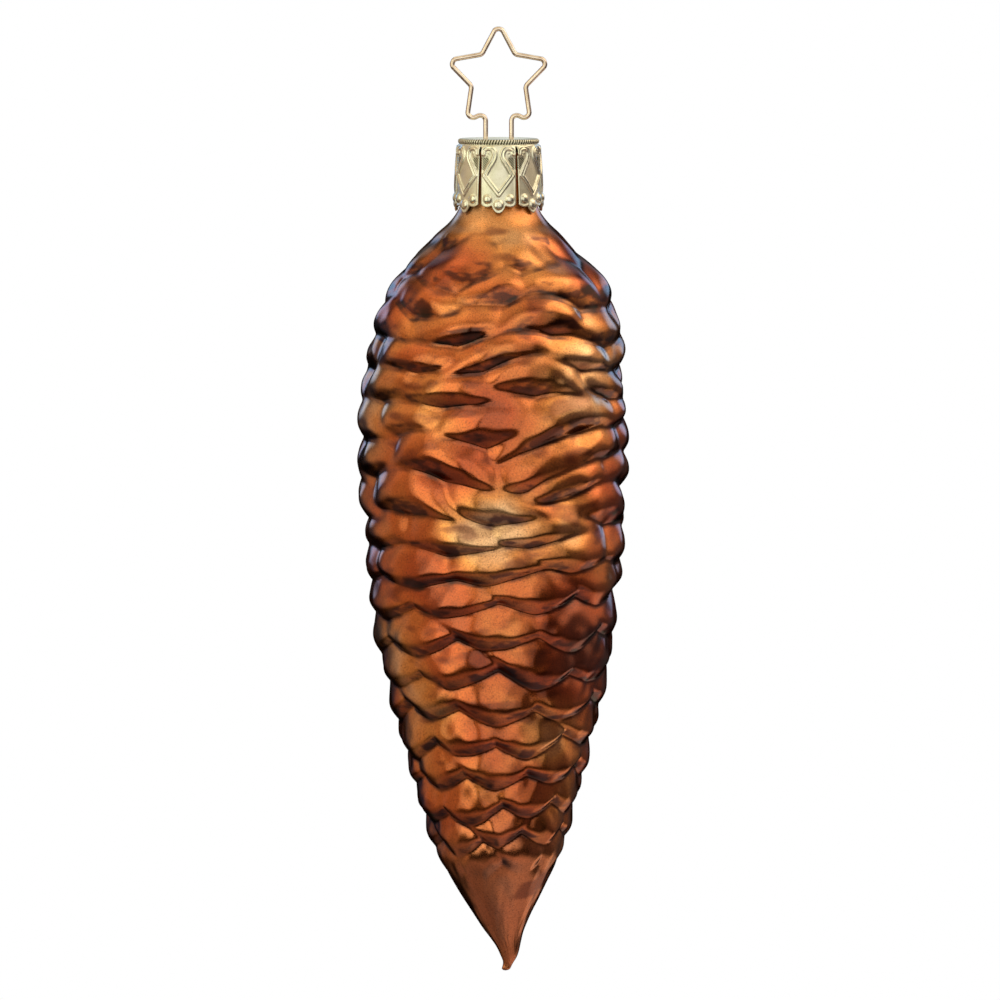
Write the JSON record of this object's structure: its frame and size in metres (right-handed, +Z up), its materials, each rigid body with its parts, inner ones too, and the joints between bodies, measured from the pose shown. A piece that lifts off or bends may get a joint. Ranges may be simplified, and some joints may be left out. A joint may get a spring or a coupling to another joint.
{
  "type": "blown glass spruce cone ornament",
  "caption": "Hanging blown glass ornament shaped as a spruce cone, tip down, with a stamped metal cap and a wire star hanger.",
  "frame": {"origin": "underside of the hanger wire's top bend, where a hook or twig bears", "axes": "+Z up along the hanging ornament's axis, -Y the front, +X to the right seen from the front"},
  "size_m": [0.0383, 0.0376, 0.1327],
  "materials": {
    "lacquered_glass": "blown glass silvered inside and coated outside with a satin amber brown lacquer",
    "cap_metal": "thin stamped sheet in pale champagne gold, satin",
    "hanger_wire": "drawn spring wire in pale rose champagne"
  },
  "bodies": {
    "root": {"glass": "lacquered_glass", "cap": "cap_metal", "hanger": "hanger_wire"}
  },
  "joints": []
}
